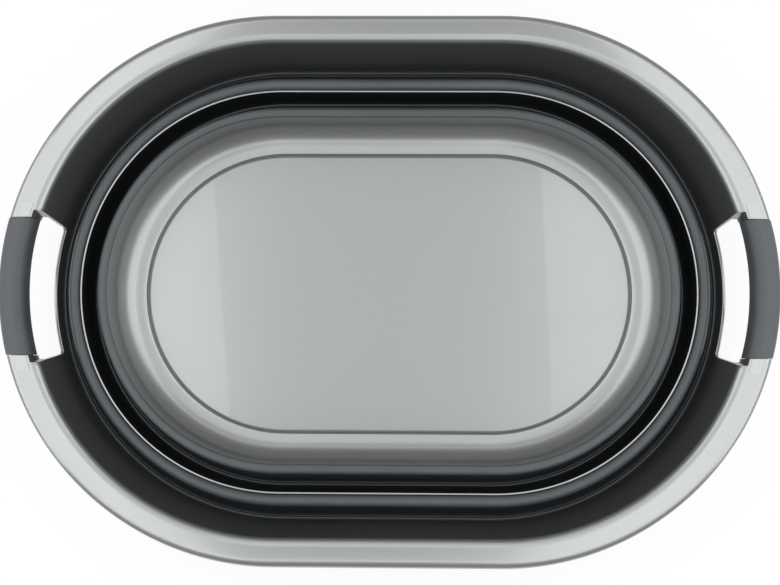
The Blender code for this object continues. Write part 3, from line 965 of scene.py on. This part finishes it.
def slate_elastomer(name, rough, base, crest_z=None):
    """Soft slate skin. A band is given its crest's height, and the fold below it is darker and duller."""
    look = new_look(name)
    shader = look.node_tree.nodes["Principled BSDF"]
    where = place_on(look)
    grain = noise(look, where, GRAIN_SCALE, 2)
    clouds = noise(look, where, SLATE_CLOUDS, 4, 0.6)
    dust = noise(look, where, DUST_SCALE, 3, 0.7)
    worn = worn_edges(look, 0.62)
    darker, paler, rubbed, dusty = (tuple(value * times for value in base) for times in (0.88, 1.10, 1.5, 1.9))
    body = mix_colour(look, by_noise(look, clouds, 0, 1), darker, paler)
    body = mix_colour(look, spread(look, dust, *DUST_STARTS, 0, DUST_SHARE), body, dusty)
    body = mix_colour(look, spread(look, worn, 0, 1, 0, RUBBED_SHARE), body, rubbed)
    shine = SLATE_SHINE
    if crest_z:
        height = axis_of(look, where, "Z")
        above_lip = spread(look, height, *LIP_CLEAR_Z, 0, 1)
        below_crest = spread(look, height, crest_z - CREST_DEPTH[0], crest_z - CREST_DEPTH[1], 1, 0)
        fold = reckon(look, above_lip, "MULTIPLY", below_crest)
        body = mix_colour(look, reckon(look, fold, "MULTIPLY", FOLD_SHARE), body, FOLD_SHADE)
        shine = spread(look, fold, 0, 1, SLATE_SHINE, FOLD_SHINE)
    finish = {
        "Base Color": body,
        "Roughness": by_noise(look, clouds, rough - 0.04, rough + 0.05),
        "Normal": bumps(look, grain, 0.18),
        "Specular IOR Level": shine,
    }
    for socket, value in finish.items():
        feed(look, shader.inputs[socket], value)
    print(name, len(look.node_tree.nodes), "nodes")
    return look


upper_skin = slate_elastomer("slate_elastomer_upper", 0.38, (0.057, 0.064, 0.071), UPPER_CREST_Z)
lower_skin = slate_elastomer("slate_elastomer_lower", 0.38, (0.052, 0.060, 0.065), LOWER_CREST_Z)
grip_skin = slate_elastomer("slate_grip", 0.55, (0.068, 0.074, 0.083))
foot_skin = slate_elastomer("foot_rubber", 0.7, (0.045, 0.048, 0.052))

# %% [markdown]
# ## Putting the pieces on their shells
# Each finished piece stands for one solid of the model and moves with that solid's body.
# A band belongs to two shells. Bones could bend it, but the frame's blend is enough:
# every point shares the movement of both shells by its height, from the bead up to the crest.

# %% Materials, slots and bodies
def finish_piece(piece, material, node, body=None):
    piece.data.materials.clear()
    piece.data.materials.append(material)
    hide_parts(node)
    if body:
        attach(piece, body)
    print(piece.name, "replaces", node)


finish_piece(rim, silver, "rim_ring", "rim")
finish_piece(grip_left, grip_skin, "grip_left", "rim")
finish_piece(grip_right, grip_skin, "grip_right", "rim")
finish_piece(ring, silver_ring, "middle_ring", "middle")
finish_piece(tray, silver_tray, "base_tray", "base")
for name, foot in feet.items():
    finish_piece(foot, foot_skin, name, "base")
finish_piece(upper, upper_skin, "upper_bellows")
finish_piece(lower, lower_skin, "lower_bellows")
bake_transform(upper)
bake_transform(lower)

# %% [markdown]
# ## Table
# The tub stands on plain white, with no edge in sight and hardly a shadow at its foot.
# Lighting a white table until it glows would wash out the tub, so the table is part lamp:
# the camera and mirrored rays see it glow, while the light that it throws back on the tub is that of white paper.

# %% White table
TABLE_SIZE = 60
PAPER_WHITE = (0.86, 0.86, 0.86)
GLOW_SHARE = 0.86
bpy.ops.mesh.primitive_plane_add(size=TABLE_SIZE, location=(0, 0, 0))
table = bpy.context.object
table.name = "table"
white = new_look("white_table")
paper = white.node_tree.nodes["Principled BSDF"]
feed(white, paper.inputs["Base Color"], PAPER_WHITE)
feed(white, paper.inputs["Roughness"], 0.8)
feed(white, paper.inputs["Specular IOR Level"], 0.2)
glow = work_out(white, "ShaderNodeEmission", "Emission", {"Strength": 1.0})
seen = 0
for ray in ("Is Camera Ray", "Is Glossy Ray", "Is Transmission Ray"):
    seen = reckon(white, work_out(white, "ShaderNodeLightPath", ray, {}), "MAXIMUM", seen)
seen = reckon(white, seen, "MULTIPLY", GLOW_SHARE)
blend = work_out(white, "ShaderNodeMixShader", "Shader", {"Fac": seen, 1: paper.outputs["BSDF"], 2: glow})
feed(white, white.node_tree.nodes["Material Output"].inputs["Surface"], blend)
table.data.materials.append(white)
print("table", TABLE_SIZE, "m across")

# %% [markdown]
# ## Light
# Flat silver mirrors whatever hangs above it, so the light is a whole ceiling of glowing panels, cut like a quilt.
# Two bright softboxes run left and right. Their inner edges are bent, and the floor panel mirrors them
# as its two faint steps. Between them the ceiling is greyer, darkest just in front of and behind the tub,
# where the crown's long sides look. Panels at the far sides light the skirt. One grey room fills the rest.

# %% Softboxes
LAMP_HEIGHT = 0.9


def softbox(name, corners, radiance):
    """A flat glowing panel above the table, drawn corner by corner and filled."""
    panel = draw_wire(name, [(x, y, LAMP_HEIGHT) for x, y in corners])
    bpy.ops.mesh.select_all(action="SELECT")
    bpy.ops.mesh.edge_face_add()
    done()
    look = new_look(name)
    look.node_tree.nodes.remove(look.node_tree.nodes["Principled BSDF"])
    shine = work_out(look, "ShaderNodeEmission", "Emission", {"Strength": radiance})
    feed(look, look.node_tree.nodes["Material Output"].inputs["Surface"], shine)
    panel.data.materials.append(look)
    panel.visible_camera = False
    print(name, len(panel.data.polygons), "face")
    return panel


def box(x_from, x_to, y_from, y_to):
    return [(x_from, y_from), (x_from, y_to), (x_to, y_to), (x_to, y_from)]


# %% Ceiling, cut into panels
FRONT, FRONT_NEAR, BACK_NEAR, BACK = -1.2, -0.35, 0.52, 1.2
LEFT, RIGHT_FRONT, RIGHT_BACK = -0.36, 0.22, 0.46
WIDE, FAR = 0.62, 1.4
left_edge = [(LEFT, FRONT), (LEFT, FRONT_NEAR), (-0.337, -0.21), (-0.387, 0.37), (-0.37, BACK_NEAR), (LEFT, BACK)]
right_edge = [
    (RIGHT_FRONT, FRONT),
    (RIGHT_FRONT, FRONT_NEAR),
    (0.328, -0.21),
    (0.304, 0.37),
    (RIGHT_BACK, BACK_NEAR),
    (RIGHT_BACK, BACK),
]
ceiling = {
    "softbox_left": (left_edge + [(-WIDE, BACK), (-WIDE, FRONT)], 1.92),
    "softbox_right": (right_edge + [(WIDE, BACK), (WIDE, FRONT)], 1.86),
    "softbox_far_left": (box(-WIDE, -FAR, FRONT, BACK), 1.72),
    "softbox_far_right": (box(WIDE, FAR, FRONT, BACK), 1.72),
    "ceiling_middle": (left_edge[1:5] + right_edge[4:0:-1], 1.15),
    "ceiling_front": (box(LEFT, RIGHT_FRONT, -0.58, FRONT_NEAR), 0.66),
    "ceiling_far_front": (box(LEFT, RIGHT_FRONT, -0.95, -0.58), 1.45),
    "ceiling_front_end": (box(LEFT, RIGHT_FRONT, FRONT, -0.95), 0.9),
    "ceiling_back": (box(LEFT, RIGHT_BACK, BACK_NEAR, 0.8), 0.62),
    "ceiling_far_back": (box(LEFT, RIGHT_BACK, 0.8, 1.0), 0.8),
    "ceiling_back_end": (box(LEFT, RIGHT_BACK, 1.0, 1.6), 1.1),
}
for name, (corners, radiance) in ceiling.items():
    softbox(name, corners, radiance)

# %% Side panels and the grey of the room
SIDE_X = 1.45
SIDE_HALF = 0.9
SIDE_THICK = 0.01
SIDE_DROP = 0.5
SIDE_RADIANCE = 2.1
ROOM_GREY = (0.3, 0.3, 0.3)
for name, place in (("side_left", -SIDE_X), ("side_right", SIDE_X)):
    edit(softbox(name, box(place, place + SIDE_THICK, -SIDE_HALF, SIDE_HALF), SIDE_RADIANCE))
    bpy.ops.mesh.select_all(action="SELECT")
    bpy.ops.mesh.extrude_region_move(TRANSFORM_OT_translate={"value": (0, 0, -SIDE_DROP)})
    done()
room = bpy.data.worlds.new("room")
room.use_nodes = True
feed(room, room.node_tree.nodes["Background"].inputs["Color"], ROOM_GREY)
feed(room, room.node_tree.nodes["Background"].inputs["Strength"], 1.0)
bpy.context.scene.world = room
print("room grey", ROOM_GREY)

# %% [markdown]
# ## Camera
# The photograph was taken from about 78 cm above the table, with a small tilt and a small shift of the picture.
# Place, tilt and lens were matched to the photograph on the rings' edges, which lie at different heights.

# %% Camera where the photograph was taken
CAMERA_PLACE = (0.0094, -0.0539, 0.780)
CAMERA_TURN_DEG = (2.63, 0.69, 0.282)
lens = bpy.data.cameras.new("photo_view")
lens.lens = 39.72
lens.sensor_width = 36
lens.shift_x = 0.0021
lens.shift_y = 0.0273
camera = bpy.data.objects.new("photo_view", lens)
bpy.context.scene.collection.objects.link(camera)
camera.location = CAMERA_PLACE
camera.rotation_euler = [math.radians(turn) for turn in CAMERA_TURN_DEG]
bpy.context.scene.camera = camera
bpy.context.scene.view_settings.view_transform = "Standard"
print("camera", CAMERA_PLACE, "lens", lens.lens)
